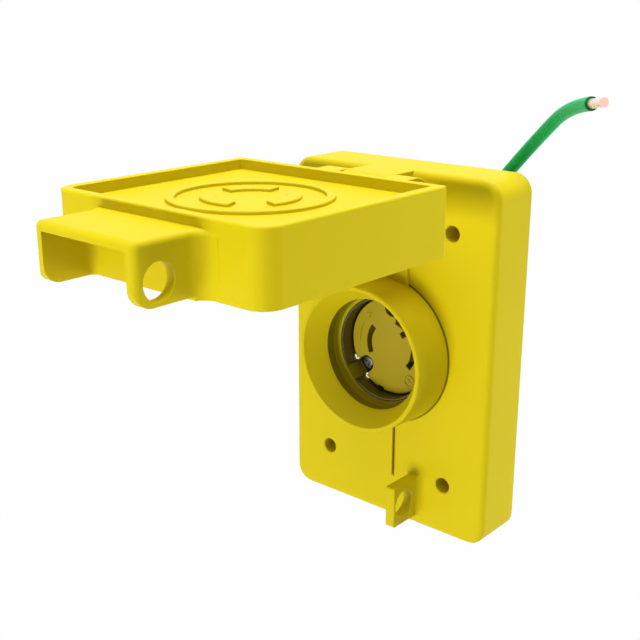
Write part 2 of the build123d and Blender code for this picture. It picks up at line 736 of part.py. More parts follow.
def clamp_plate(terminal):
    x, z = terminal_place(terminal)
    outline = Pos(TERMINAL_RADIUS - LINK_LENGTH / 2 + CLAMP_LENGTH / 2, 0)
    plate = extrude(front_plane(-clamp_back() - CLAMP_THICKNESS) * at_angle(terminal) *
                    outline * Rectangle(CLAMP_LENGTH, TAB_WIDTH), CLAMP_THICKNESS)
    radius = TERMINAL_SCREW_RADIUS + TERMINAL_SCREW_FIT
    return plate - front_disc(radius, 0, -BODY_BACK, x, z)


def terminal_screw(terminal):
    x, z = terminal_place(terminal)
    seat = -clamp_back() - CLAMP_THICKNESS
    return screw(TERMINAL_SCREW_RADIUS, TERMINAL_SCREW_HEAD, TERMINAL_SCREW_HEAD_HEIGHT,
                 TERMINAL_SCREW_LENGTH, seat, x, z, towards_user=False)


def receptacle_seal():
    """The rubber ring squeezed between the base's flange and the tube's step."""
    front = SEAT_FRONT - BASE_SEAL_GAP
    back = TUBE_BACK_FRONT + FLANGE_THICKNESS + BASE_SEAL_GAP
    ring = Circle(SEAT_RADIUS - FLANGE_GAP) - Circle(BASE_RADIUS + BASE_SEAL_GAP)
    return extrude(front_plane(back) * ring, front - back)


def mounting_strap():
    """The plated strap that clamps the base's flange to the tube."""
    back = TUBE_BACK_FRONT - STRAP_GAP - STRAP_THICKNESS
    ears = Rectangle(2 * STRAP_SCREW_OFFSET, 2 * STRAP_EAR)
    outline = Circle(STRAP_RADIUS) + ears
    for side in (-1, 1):
        outline += Pos(side * STRAP_SCREW_OFFSET, 0) * Circle(STRAP_EAR)
    outline -= Circle(BODY_RADIUS + STRAP_CLEARANCE)
    for side in (-1, 1):
        outline -= Pos(side * STRAP_SCREW_OFFSET, 0) * Circle(STRAP_SCREW_RADIUS + SCREW_FIT)
    return extrude(front_plane(back) * outline, STRAP_THICKNESS)


def strap_screw(side):
    seat = TUBE_BACK_FRONT - STRAP_GAP - STRAP_THICKNESS
    return screw(STRAP_SCREW_RADIUS, STRAP_SCREW_HEAD, STRAP_SCREW_HEAD_HEIGHT,
                 STRAP_SCREW_LENGTH, seat, side * STRAP_SCREW_OFFSET, 0, towards_user=False)


def wire_y():
    return POCKET_FLOOR + TAB_THICKNESS + COPPER_RADIUS


def wire_route():
    """The wire's points from the base's side to the end of its insulation."""
    turn = math.radians(POLES["ground"][2])
    start = BODY_RADIUS + WIRE_EXIT_GAP
    first = (start * math.cos(turn), wire_y(), start * math.sin(turn))
    return [Vector(*point) for point in [first] + WIRE_POINTS]


def bend_radii(points):
    """Each bend takes a set share of the shorter run beside it."""
    radii = []
    for before, here, after in zip(points, points[1:], points[2:]):
        run_in = here - before
        run_out = after - here
        turn = math.radians(run_in.get_angle(run_out))
        radii.append(ARC_SHARE * min(run_in.length, run_out.length) / math.tan(turn / 2))
    return radii


def ground_wire():
    """The insulated stretch: straight runs joined by tangent arcs."""
    points = wire_route()
    radii = bend_radii(points)
    path = FilletPolyline(points, radius=radii)
    section = Plane(path @ 0, z_dir=path % 0) * Circle(WIRE_RADIUS)
    tube = sweep(section, path)
    print("bend radii", [round(radius, 1) for radius in radii])
    print("wire length", round(path.length, 2))
    print("tube volume ratio", round(tube.volume / (math.pi * WIRE_RADIUS ** 2 * path.length), 5))
    return tube


def wire_tip():
    """The stripped end, straight on from the insulation."""
    points = wire_route()
    way = (points[-1] - points[-2]).normalized()
    return extrude(Plane(points[-1], z_dir=way) * Circle(COPPER_RADIUS), TIP_LENGTH)


def wire_root():
    """The stripped end under the clamp plate."""
    turn = math.radians(POLES["ground"][2])
    way = Vector(math.cos(turn), 0, math.sin(turn))
    start = way * ROOT_START_RADIUS + Vector(0, wire_y(), 0)
    length = BODY_RADIUS + WIRE_EXIT_GAP - ROOT_START_RADIUS
    return extrude(Plane(start, z_dir=way) * Circle(COPPER_RADIUS), length)


def all_parts():
    parts = {
        "housing": housing(),
        "lid": lid(),
        "hinge_pin": hinge_pin(),
        "lid_seal": lid_seal(),
        "receptacle_face": receptacle_face(),
        "face_band": face_band(),
        "receptacle_base": receptacle_base(),
        "receptacle_seal": receptacle_seal(),
        "mounting_strap": mounting_strap(),
        "strap_screw_left": strap_screw(-1),
        "strap_screw_right": strap_screw(1),
        "ground_wire": ground_wire(),
        "wire_tip": wire_tip(),
        "wire_root": wire_root(),
    }
    for name, angle in NOTCH_ANGLES.items():
        parts["face_screw_" + name] = face_screw(angle)
    for pole, (start, end, terminal) in POLES.items():
        parts["contact_" + pole] = contact(start, end, terminal)
        parts["clamp_plate_" + pole] = clamp_plate(terminal)
        parts["terminal_screw_" + pole] = terminal_screw(terminal)
    return parts


os.makedirs("parts", exist_ok=True)
for node, solid in all_parts().items():
    export_step(solid, "parts/" + node + ".step")
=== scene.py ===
import math
import bmesh
import bpy
from mathutils import Matrix, Vector


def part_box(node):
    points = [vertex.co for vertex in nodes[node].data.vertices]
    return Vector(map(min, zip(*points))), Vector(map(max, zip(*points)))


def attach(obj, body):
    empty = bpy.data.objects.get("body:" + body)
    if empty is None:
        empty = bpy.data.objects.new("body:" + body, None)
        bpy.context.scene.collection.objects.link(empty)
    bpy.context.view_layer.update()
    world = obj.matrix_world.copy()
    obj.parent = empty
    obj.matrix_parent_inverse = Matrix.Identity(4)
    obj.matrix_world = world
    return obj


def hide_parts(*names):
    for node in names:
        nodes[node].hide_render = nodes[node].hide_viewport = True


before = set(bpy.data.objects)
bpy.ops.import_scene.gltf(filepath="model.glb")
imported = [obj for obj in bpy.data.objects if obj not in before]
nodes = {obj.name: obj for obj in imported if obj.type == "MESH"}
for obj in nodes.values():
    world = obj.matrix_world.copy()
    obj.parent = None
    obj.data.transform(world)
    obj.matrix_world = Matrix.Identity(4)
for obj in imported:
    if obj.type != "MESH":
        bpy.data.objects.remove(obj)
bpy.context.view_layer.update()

MM = 0.001

# The camera stands in front of the plate, to its right and a little above it,
# where the photograph was taken from.
CAMERA_PLACE = Vector((203.52, -289.15, 117.73)) * MM
CAMERA_AZIMUTH = 40.977
CAMERA_ELEVATION = 17.654
CAMERA_LENS = 57.28
CAMERA_SENSOR = 36.0
CAMERA_NEAR = 0.01
camera = bpy.data.objects.new("camera", bpy.data.cameras.new("camera"))
bpy.context.scene.collection.objects.link(camera)
camera.location = CAMERA_PLACE
camera.rotation_euler = (math.radians(90 - CAMERA_ELEVATION), 0, math.radians(CAMERA_AZIMUTH))
camera.data.sensor_width = CAMERA_SENSOR
camera.data.lens = CAMERA_LENS
camera.data.clip_start = CAMERA_NEAR
bpy.context.scene.camera = camera
bpy.context.scene.view_settings.view_transform = "Standard"


# The studio: soft suns above, panels behind, beside and low in front like light
# thrown back by a table, and a floor that shows white to the camera.
def paint(red, green, blue):
    """A colour written as it is seen, from 0 to 255, and turned linear."""
    return tuple(
        (part / 255 / 12.92 if part <= 10 else ((part / 255 + 0.055) / 1.055) ** 2.4)
        for part in (red, green, blue)
    ) + (1.0,)


class Link:
    """An output of a node. Arithmetic on it adds Math nodes."""

    def __init__(self, shading, socket):
        self.shading = shading
        self.socket = socket

    def maths(self, operation, first, second=0.0):
        return self.shading.node("Math", {"operation": operation}, {0: first, 1: second})

    def __add__(self, other):
        return self.maths("ADD", self, other)

    def __sub__(self, other):
        return self.maths("SUBTRACT", self, other)

    def __rsub__(self, other):
        return self.maths("SUBTRACT", other, self)

    def __mul__(self, other):
        return self.maths("MULTIPLY", self, other)

    __radd__ = __add__
    __rmul__ = __mul__


WHITE = (1, 1, 1, 1)


class Shading:
    """A node tree, and the calls that add nodes to it."""

    def __init__(self, tree):
        self.tree = tree

    def join(self, socket, value):
        if isinstance(value, Link):
            self.tree.links.new(value.socket, socket)
        else:
            socket.default_value = value

    def node(self, kind, settings, sockets, output=0):
        made = self.tree.nodes.new("ShaderNode" + kind)
        for setting, value in settings.items():
            setattr(made, setting, value)
        for socket, value in sockets.items():
            self.join(made.inputs[socket], value)
        return Link(self, made.outputs[output])

    def white_to_camera(self, lit, share):
        """Mixes in plain white where the camera, a reflection or glass sees this."""
        straight, mirrored, through = (
            self.node("LightPath", {}, {}, ray)
            for ray in ("Is Camera Ray", "Is Glossy Ray", "Is Transmission Ray")
        )
        white = self.node("Emission", {}, {"Color": WHITE, "Strength": 1.0})
        seen = (straight + mirrored + through) * share
        return self.node("MixShader", {}, {0: seen, 1: lit, 2: white})


class Finish(Shading):
    """A material, with its shader's settings and the nodes that vary it."""

    def __init__(self, name, shader_settings):
        self.material = bpy.data.materials.new(name)
        self.material.use_nodes = True
        super().__init__(self.material.node_tree)
        self.shader = self.tree.nodes["Principled BSDF"]
        for socket, value in shader_settings.items():
            self.join(self.shader.inputs[socket], value)

    def place(self):
        return self.node("TexCoord", {}, {}, "Object")

    def along(self, direction):
        """How far each point lies along a direction from the origin, in metres."""
        sockets = {0: self.place(), 1: tuple(direction)}
        return self.node("VectorMath", {"operation": "DOT_PRODUCT"}, sockets, "Value")

    def noise(self, size_mm, detail=2.0):
        """Soft random values from 0 to 1, with lumps of about this size."""
        sockets = {"Vector": self.place(), "Scale": 1 / (size_mm * MM), "Detail": detail}
        return self.node("TexNoise", {}, sockets, "Fac")

    def steps(self, value, low, high):
        """A smooth rise from 0 to 1 as the value goes from low to high."""
        return self.node("MapRange", {"interpolation_type": "SMOOTHSTEP"},
                         {"Value": value, "From Min": low, "From Max": high})

    def mix(self, share, first, second):
        return self.node("Mix", {"data_type": "RGBA"}, {0: share, 6: first, 7: second}, 2)

    def bump(self, height, depth_mm):
        return self.node("Bump", {}, {"Height": height, "Distance": depth_mm * MM})

    def vary(self, **links):
        """Joins what changes over the surface to the shader's own sockets."""
        for socket, value in links.items():
            self.join(self.shader.inputs[socket.replace("_", " ")], value)

    def cover(self, *objects):
        for piece in objects:
            piece.data.materials.clear()
            piece.data.materials.append(self.material)


FLOOR_HALF_WIDTH = 3.0
FLOOR_DEPTH = 0.48
FLOOR_GREY = (0.25, 0.25, 0.25, 1)
FLOOR_ROUGHNESS = 0.9
FLOOR_WHITE_SHARE = 0.985

floor_mesh = bpy.data.meshes.new("floor")
floor_mesh.from_pydata([
    (sx * FLOOR_HALF_WIDTH, sy * FLOOR_HALF_WIDTH, -FLOOR_DEPTH)
    for sx, sy in ((-1, -1), (1, -1), (1, 1), (-1, 1))
], [], [(0, 1, 2, 3)])
floor = bpy.data.objects.new("floor", floor_mesh)
bpy.context.scene.collection.objects.link(floor)
studio_paper = Finish("studio_paper", {"Base Color": FLOOR_GREY, "Roughness": FLOOR_ROUGHNESS})
studio_paper.join(
    studio_paper.tree.nodes["Material Output"].inputs["Surface"],
    studio_paper.white_to_camera(Link(studio_paper, studio_paper.shader.outputs[0]),
                                 FLOOR_WHITE_SHARE),
)
studio_paper.cover(floor)

WORLD_STRENGTH = 0.03
world = bpy.data.worlds.new("studio")
bpy.context.scene.world = world
world.use_nodes = True
sky = Shading(world.node_tree)
dim_sky = sky.node("Background", {}, {"Color": WHITE, "Strength": WORLD_STRENGTH})
sky.join(sky.tree.nodes["World Output"].inputs["Surface"], sky.white_to_camera(dim_sky, 1.0))

LAMP_TARGET = Vector((0, -0.05, 0))
SUN_SPREAD = math.radians(50)


def place_lamp(name, light, away, distance=1.0):
    holder = bpy.data.objects.new(name, light)
    bpy.context.scene.collection.objects.link(holder)
    holder.location = LAMP_TARGET + Vector(away).normalized() * distance
    holder.rotation_euler = Vector(away).to_track_quat("Z", "Y").to_euler()
    holder.visible_camera = False
    return holder


def soft_sun(name, away, strength):
    """A sun with wide, soft shadows, named by the way that leads to it."""
    light = bpy.data.lights.new(name, "SUN")
    light.energy = strength
    light.angle = SUN_SPREAD
    place_lamp(name, light, away)


def fill_panel(name, away, distance, width, watts):
    """A square panel, sized in metres, that brightens a side but doesn't show in gloss."""
    light = bpy.data.lights.new(name, "AREA")
    light.energy = watts
    light.size = width
    place_lamp(name, light, away, distance).visible_glossy = False


soft_sun("sun_overhead", (0, 0, 1), 3.3)
soft_sun("sun_above_front", (0, -0.7, 0.7), 0.7)
soft_sun("sun_above_back", (0, 0.5, 0.8), 1.1)
soft_sun("sun_above_right", (0.7, -0.3, 0.6), 0.3)
fill_panel("panel_back_right", (0.6, 0.8, -0.2), 1.2, 0.7, 13.9)
fill_panel("panel_right", (1.0, 0.1, -0.25), 1.1, 0.6, 0.7)
fill_panel("panel_low_front", (-0.03, -1.0, -0.32), 1.1, 0.4, 9.9)
fill_panel("panel_low_left", (-0.6, -0.6, -0.5), 0.75, 0.4, 0.5)


# Ground wire: one solid copper conductor in green insulation. It is clamped
# under the ground screw, comes up behind the plate's right side and ends bare.
WIRE_POINTS_MM = [
    (4.17, 6.4, 15.55),
    (7.4, 6.4, 27.8),
    (13.2, 6.5, 39.6),
    (20.9, 6.4, 51.0),
    (30.0, 6.2, 62.4),
    (41.8, 5.2, 75.6),
    (54.8, -2.6, 85.9),
    (68.1, -15.0, 88.4),
]
WIRE_DIAMETER = 4.2 * MM
WIRE_END = Vector(WIRE_POINTS_MM[-1]) * MM
WIRE_END_WAY = (WIRE_END - Vector(WIRE_POINTS_MM[-2]) * MM).normalized()
WIRE_ROUNDNESS = 10
WIRE_STEPS = 24
WIRE_ORDER = 3
COPPER_TIP_MM = 9.5
CUT_DEPTH = 0.12 * MM
JACKET_GREEN = paint(6, 170, 90), paint(8, 176, 95)
JACKET_CUT_GREEN = paint(8, 92, 44)
JACKET_DEPTH_MM = 0.003

wire_curve = bpy.data.curves.new("wire_insulation", "CURVE")
wire_curve.dimensions = "3D"
wire_curve.bevel_depth = WIRE_DIAMETER / 2
wire_curve.bevel_resolution = WIRE_ROUNDNESS
wire_curve.use_fill_caps = True
wire_curve.resolution_u = WIRE_STEPS
wire_line = wire_curve.splines.new("NURBS")
wire_line.points.add(len(WIRE_POINTS_MM) - 1)
for control, place_mm in zip(wire_line.points, WIRE_POINTS_MM):
    control.co = (*(Vector(place_mm) * MM), 1.0)
wire_line.order_u = WIRE_ORDER
wire_line.use_endpoint_u = True
wire_insulation = bpy.data.objects.new("wire_insulation", wire_curve)
bpy.context.scene.collection.objects.link(wire_insulation)

insulation_green = Finish("insulation_green", {"Specular IOR Level": 0.25})
jacket = insulation_green.mix(insulation_green.noise(9.0, 1.0), *JACKET_GREEN)
cut_place = WIRE_END.dot(WIRE_END_WAY)
cut = insulation_green.steps(insulation_green.along(WIRE_END_WAY), cut_place - CUT_DEPTH,
                             cut_place - CUT_DEPTH / 2)
insulation_green.vary(
    Base_Color=insulation_green.mix(cut, jacket, JACKET_CUT_GREEN),
    Roughness=0.42 + 0.06 * insulation_green.noise(0.8),
    Normal=insulation_green.bump(insulation_green.noise(0.6), JACKET_DEPTH_MM),
)
insulation_green.cover(wire_insulation)
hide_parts("ground_wire")
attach(wire_insulation, "base")

# The conductor's sides are copper painted near-white, a painted reflection of the
# pale surroundings; its sheared end is a warmer pink.
COPPER_AND_PAINTED_REFLECTION = paint(244, 222, 206), paint(250, 234, 222)
COPPER_SHEARED = paint(246, 196, 180)
COPPER_DEPTH_MM = 0.01
bare_copper = Finish("bare_copper", {"Metallic": 1.0})
copper_and_reflection = bare_copper.mix(bare_copper.noise(1.5, 3.0), *COPPER_AND_PAINTED_REFLECTION)
sheared = bare_copper.steps(bare_copper.along(WIRE_END_WAY),
                            cut_place + COPPER_TIP_MM * MM - CUT_DEPTH,
                            cut_place + COPPER_TIP_MM * MM - CUT_DEPTH / 2)
bare_copper.vary(
    Base_Color=bare_copper.mix(sheared, copper_and_reflection, COPPER_SHEARED),
    Roughness=0.3 + 0.15 * bare_copper.noise(0.5),
    Normal=bare_copper.bump(bare_copper.noise(0.4), COPPER_DEPTH_MM),
)
bare_copper.cover(nodes["wire_tip"], nodes["wire_root"])


# Cover plate and lid: two deep mouldings in yellow thermoplastic. The plate is
# open at the back, with the shroud, the hinge's middle knuckle and the lug on
# its front. Both have the fine, even texture of a spark-eroded mould.
COVER_YELLOW = paint(211, 192, 17)
COVER_DEEP = paint(208, 188, 15)
BORE_PAINTED_SHADE = paint(166, 156, 22)
THROAT_PAINTED_SHADOW = paint(136, 128, 22)
FOOT_PAINTED_SHADOW = paint(128, 114, 12)
FLOW_MM = 26.0
GRAIN_MM = 0.35
GRAIN_DEPTH_MM = 0.012

cover_plastic = Finish("cover_plastic", {"Specular IOR Level": 0.12})
flow = cover_plastic.noise(FLOW_MM, 1.0)
grain = cover_plastic.noise(GRAIN_MM, 2.0)

# The bore is painted darker than the outside as painted shade, most of all in a
# ring of painted shadow just behind the funnel, and a fine painted shadow line
# runs on the plate round the shroud's foot and down beside the raised rib.
BORE_RADIUS_MM = 20.2
BORE_FRONT_MM = (4.0, 27.9)
THROAT_RING_MM = (24.8, 27.9)
FOOT_RADIUS_MM = (26.3, 26.7)
FOOT_FRONT_MM = (19.6, 20.1)
RIB_SIDE_MM = (4.5, 4.85)
RIB_LENGTH_MM = (-47.6, -26.3)
RING_FADE_MM = 0.2
across, up = cover_plastic.along((1, 0, 0)), cover_plastic.along((0, 0, 1))
front = cover_plastic.along((0, -1, 0))
reach_squared = across * across + up * up


def cover_band(value, low, high, fade):
    """One between two values, and nothing outside them past the fade."""
    return (cover_plastic.steps(value, low - fade, low)
            * (1 - cover_plastic.steps(value, high, high + fade)))


def between(value, low, high):
    """One where a distance lies between two sizes in millimetres."""
    return cover_band(value, low * MM, high * MM, RING_FADE_MM * MM)


def between_squares(value, low, high):
    """The same for a value that is the square of a distance."""
    fade = RING_FADE_MM * MM * (low + high) * MM
    return cover_band(value, (low * MM) ** 2, (high * MM) ** 2, fade)


bore = between_squares(reach_squared, 0, BORE_RADIUS_MM) * between(front, *BORE_FRONT_MM)
throat_shadow_ring = bore * between(front, *THROAT_RING_MM)
# Painted shadow lines at the shroud's foot and beside the rib.
shroud_shadow_line = between_squares(reach_squared, *FOOT_RADIUS_MM)
rib_shadow_line = between_squares(across * across, *RIB_SIDE_MM) * between(up, *RIB_LENGTH_MM)
foot_shadow_line = (shroud_shadow_line + rib_shadow_line) * between(front, *FOOT_FRONT_MM)
cover_tone = cover_plastic.mix(flow, COVER_DEEP, COVER_YELLOW)
# Painted shade darkens the bore, and a ring of painted shadow darkens the throat.
cover_tone = cover_plastic.mix(bore, cover_tone, BORE_PAINTED_SHADE)
cover_tone = cover_plastic.mix(throat_shadow_ring, cover_tone, THROAT_PAINTED_SHADOW)
cover_plastic.vary(
    Base_Color=cover_plastic.mix(foot_shadow_line, cover_tone, FOOT_PAINTED_SHADOW),
    Roughness=0.42 + 0.10 * grain + 0.05 * flow,
    Normal=cover_plastic.bump(grain, GRAIN_DEPTH_MM),
)
cover_plastic.cover(nodes["housing"], nodes["lid"])


# Hinge pin: a plain drawn steel rod, pressed through the plate's knuckle. The
# lid's two knuckles turn on its ends.
PIN_GREY = paint(176, 176, 172), paint(206, 206, 202)
PIN_DEPTH_MM = 0.004
pin_steel = Finish("pin_steel", {"Metallic": 1.0})
pin_steel.vary(
    Base_Color=pin_steel.mix(pin_steel.noise(3.0), *PIN_GREY),
    Roughness=0.28 + 0.12 * pin_steel.noise(0.6),
    Normal=pin_steel.bump(pin_steel.noise(0.3), PIN_DEPTH_MM),
)
pin_steel.cover(nodes["hinge_pin"])


# Seals: flat rings die-cut from black rubber sheet. One is pressed inside the
# rib under the lid's panel, where it meets the shroud's rim, and the other is
# clamped between the receptacle and the cover plate.
RUBBER_BLACK = paint(34, 34, 34), paint(48, 48, 47)
RUBBER_DEPTH_MM = 0.02
seal_rubber = Finish("seal_rubber", {"Specular IOR Level": 0.3})
seal_rubber.vary(
    Base_Color=seal_rubber.mix(seal_rubber.noise(5.0, 3.0), *RUBBER_BLACK),
    Roughness=0.72 + 0.14 * seal_rubber.noise(0.7),
    Normal=seal_rubber.bump(seal_rubber.noise(0.25), RUBBER_DEPTH_MM),
)
seal_rubber.cover(nodes["lid_seal"], nodes["receptacle_seal"])


# Lid sign: a raised sign for a locking socket, three curved slots in the
# middle of the panel's ring, moulded with the lid.
SIGN_RADIUS_MM = 12.4
SIGN_BAR_MM = 4.6
SIGN_HEIGHT_MM = 0.9
SIGN_ARCS = ((100, 170), (220, 290), (340, 410))
PANEL_TOP_MM = 62.8
LID_MIDDLE_MM = -84.9
MARK_SINK_MM = 0.02
MARK_CHAMFER_SHARE = 0.25


def arc_bar(mesh, plane, radius, width, height, start, end, steps=18):
    """Adds a raised bar curved about the plane's middle, its top edges chamfered."""
    inner, outer = radius - width / 2, radius + width / 2
    edge = min(width, height) * MARK_CHAMFER_SHARE
    profile = [(inner, -MARK_SINK_MM), (inner, height - edge), (inner + edge, height),
               (outer - edge, height), (outer, height - edge), (outer, -MARK_SINK_MM)]
    closed = end - start == 360
    rings = []
    for step in range(steps if closed else steps + 1):
        turn = math.radians(start + (end - start) * step / steps)
        rings.append([
            mesh.verts.new(plane @ Vector((reach * math.cos(turn), reach * math.sin(turn), rise)))
            for reach, rise in profile
        ])
    for before, after in zip(rings, rings[1:] + rings[:1] if closed else rings[1:]):
        for index in range(len(profile)):
            following = (index + 1) % len(profile)
            mesh.faces.new((before[index], before[following], after[following], after[index]))
    if not closed:
        mesh.faces.new(reversed(rings[0]))
        mesh.faces.new(rings[-1])


def piece_from(mesh, name):
    """Turns a finished bmesh into an object with outward faces."""
    bmesh.ops.recalc_face_normals(mesh, faces=mesh.faces)
    data = bpy.data.meshes.new(name)
    mesh.to_mesh(data)
    mesh.free()
    piece = bpy.data.objects.new(name, data)
    bpy.context.scene.collection.objects.link(piece)
    return piece


sign_mesh = bmesh.new()
panel_frame = (Matrix.Translation(Vector((0, LID_MIDDLE_MM, PANEL_TOP_MM)) * MM)
               @ Matrix.Scale(MM, 4))
for start, end in SIGN_ARCS:
    arc_bar(sign_mesh, panel_frame, SIGN_RADIUS_MM, SIGN_BAR_MM, SIGN_HEIGHT_MM, start, end)
lid_sign = piece_from(sign_mesh, "lid_sign")
cover_plastic.cover(lid_sign)
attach(lid_sign, "lid")


# Receptacle base: the dark glass-filled nylon moulding that holds the
# contacts. Its flange is clamped to the cover's tube by the strap.
NYLON_BLACK = paint(30, 30, 31), paint(44, 44, 45)
NYLON_DEPTH_MM = 0.02
base_nylon = Finish("base_nylon", {"Specular IOR Level": 0.4})
base_nylon.vary(
    Base_Color=base_nylon.mix(base_nylon.noise(2.0, 4.0), *NYLON_BLACK),
    Roughness=0.5 + 0.2 * base_nylon.noise(0.6),
    Normal=base_nylon.bump(base_nylon.noise(0.3), NYLON_DEPTH_MM),
)
base_nylon.cover(nodes["receptacle_base"])


# Receptacle face: a round yellow moulding with three curved slots, held to
# the base by two screws in notches at its edge.
FACE_YELLOW = paint(167, 148, 29), paint(172, 153, 32)
FACE_DEPTH_MM = 0.012
face_plastic = Finish("face_plastic", {"Specular IOR Level": 0.25})
face_plastic.vary(
    Base_Color=face_plastic.mix(face_plastic.noise(9.0, 2.0), *FACE_YELLOW),
    Roughness=0.45 + 0.1 * face_plastic.noise(0.5),
    Normal=face_plastic.bump(face_plastic.noise(0.3), FACE_DEPTH_MM),
)
face_plastic.cover(nodes["receptacle_face"])

# Marks moulded on the face: an arrow along its edge for the way a plug locks,
# and the sign for alternating current in a small ring.
FACE_FRONT_MM = 16.6
MARK_HEIGHT_MM = 0.3
ARROW_RADIUS_MM = 14.0
ARROW_WIDTH_MM = 0.7
ARROW_START, ARROW_END = 138, 184
ARROW_HEAD_MM = 1.1
ROUND_MARK_MM = (8.3, -11.1)
ROUND_MARK_RADIUS_MM = 2.0
WAVE_RADIUS_MM = 0.52
MARK_LINE_MM = 0.4
RING_STEPS = 32
WAVE_STEPS = 10


def face_frame(x=0.0, z=0.0):
    """A frame on the face in millimetres: its X across, its Y up, its Z to the user."""
    return (Matrix.Translation(Vector((x, -FACE_FRONT_MM, z)) * MM)
            @ Matrix.Rotation(math.radians(90), 4, "X") @ Matrix.Scale(MM, 4))


def raised_corner(mesh, plane, corners, height):
    """Adds a flat shape with straight sides that stands up from a plane."""
    low, high = (
        [mesh.verts.new(plane @ Vector((x, y, level))) for x, y in corners]
        for level in (-MARK_SINK_MM, height)
    )
    mesh.faces.new(high)
    mesh.faces.new(reversed(low))
    for index in range(len(corners)):
        following = (index + 1) % len(corners)
        mesh.faces.new((low[index], low[following], high[following], high[index]))


marks_mesh = bmesh.new()
arc_bar(marks_mesh, face_frame(), ARROW_RADIUS_MM, ARROW_WIDTH_MM, MARK_HEIGHT_MM,
        ARROW_START, ARROW_END)
head_turn = math.degrees(2 * ARROW_HEAD_MM / ARROW_RADIUS_MM)
raised_corner(marks_mesh, face_frame(), [
    (reach * math.cos(turn), reach * math.sin(turn))
    for reach, turn in (
        (ARROW_RADIUS_MM - ARROW_HEAD_MM, math.radians(ARROW_START)),
        (ARROW_RADIUS_MM + ARROW_HEAD_MM, math.radians(ARROW_START)),
        (ARROW_RADIUS_MM, math.radians(ARROW_START - head_turn)),
    )
], MARK_HEIGHT_MM)
round_frame = face_frame(*ROUND_MARK_MM)
arc_bar(marks_mesh, round_frame, ROUND_MARK_RADIUS_MM, MARK_LINE_MM, MARK_HEIGHT_MM,
        0, 360, RING_STEPS)
for side, start in ((-1, 0), (1, 180)):
    shifted = round_frame @ Matrix.Translation((side * WAVE_RADIUS_MM, 0, 0))
    arc_bar(marks_mesh, shifted, WAVE_RADIUS_MM, MARK_LINE_MM, MARK_HEIGHT_MM,
            start, start + 180, WAVE_STEPS)
face_marks = piece_from(marks_mesh, "face_marks")
face_plastic.cover(face_marks)
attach(face_marks, "base")


# Face band: a plated steel strip rolled round the face, with claws bent over the face's edge at
# each notch.
# Its rougher wall inside the bore is painted dark as shade, and its claws are painted near-white as
# a highlight.
CLAW_REACH_MM = 17.75
CLAW_FADE_MM = 0.1
CLAW_SLOPE = 8.0
BUMP_METRE_MM = 1 / MM
BAND_PAINTED_SHADE = paint(104, 96, 66), paint(124, 115, 82)
CLAW_PAINTED_HIGHLIGHT = paint(250, 248, 236), paint(254, 253, 244)
BAND_DEPTH_MM = 0.006
plated_band = Finish("plated_band", {"Specular IOR Level": 0.5})
across, up = plated_band.along((1, 0, 0)), plated_band.along((0, 0, 1))
reach_squared = across * across + up * up
wall = plated_band.steps(reach_squared, (CLAW_REACH_MM * MM) ** 2,
                         ((CLAW_REACH_MM + CLAW_FADE_MM) * MM) ** 2)
# Painted shade on the band's wall, and a painted highlight on the claws.
painted_band_shade = plated_band.mix(plated_band.noise(2.5), *BAND_PAINTED_SHADE)
painted_claw_highlight = plated_band.mix(plated_band.noise(1.2), *CLAW_PAINTED_HIGHLIGHT)

# The claws are slightly dished: their height, here in metres, rises with the
# square of the distance from the middle.
plated_band.vary(
    Base_Color=plated_band.mix(wall, painted_claw_highlight, painted_band_shade),
    Metallic=0.9 + 0.1 * wall,
    Roughness=0.16 + 0.1 * plated_band.noise(0.8) + 0.3 * wall,
    Normal=plated_band.bump(CLAW_SLOPE * reach_squared
                            + BAND_DEPTH_MM * MM * wall * plated_band.noise(0.5), BUMP_METRE_MM),
)

# Each claw is trimmed to a narrow hook, one leg along the face's edge and one
# along the notch.
NOTCH_TURNS = (90.0, 219.5)
NOTCH_SIDE_MM = 3.0
CLAW_EDGE_MM = 16.75
CLAW_LEG_MM = 0.5
WASTE_INNER_MM = 13.5
WASTE_SIDE_MM = 7.0
WASTE_HEIGHT_MM = 0.8
WASTE_STEPS = 6
BAND_WELD_MM = 0.0005
BAND_SMOOTH = math.radians(35)
LARGE_FACES_LEAD = 100


def claw_waste(side):
    """The outline of what is cut away between a claw's two legs, on one side of a notch."""
    leg_edge = NOTCH_SIDE_MM + CLAW_LEG_MM
    first, last = (math.asin(offset / CLAW_EDGE_MM) for offset in (leg_edge, WASTE_SIDE_MM))
    corners = [(WASTE_INNER_MM, side * leg_edge)]
    for step in range(WASTE_STEPS + 1):
        turn = first + (last - first) * step / WASTE_STEPS
        corners.append((CLAW_EDGE_MM * math.cos(turn), side * CLAW_EDGE_MM * math.sin(turn)))
    return corners + [(WASTE_INNER_MM, side * WASTE_SIDE_MM)]


def carve(piece, cutter):
    """Takes the cutter's shape out of the piece and removes the cutter."""
    cut = piece.modifiers.new("cut", "BOOLEAN")
    cut.operation = "DIFFERENCE"
    cut.solver = "EXACT"
    cut.object = cutter
    bpy.context.view_layer.update()
    graph = bpy.context.evaluated_depsgraph_get()
    carved = bpy.data.meshes.new_from_object(piece.evaluated_get(graph))
    piece.modifiers.clear()
    piece.data = carved
    bpy.data.objects.remove(cutter)


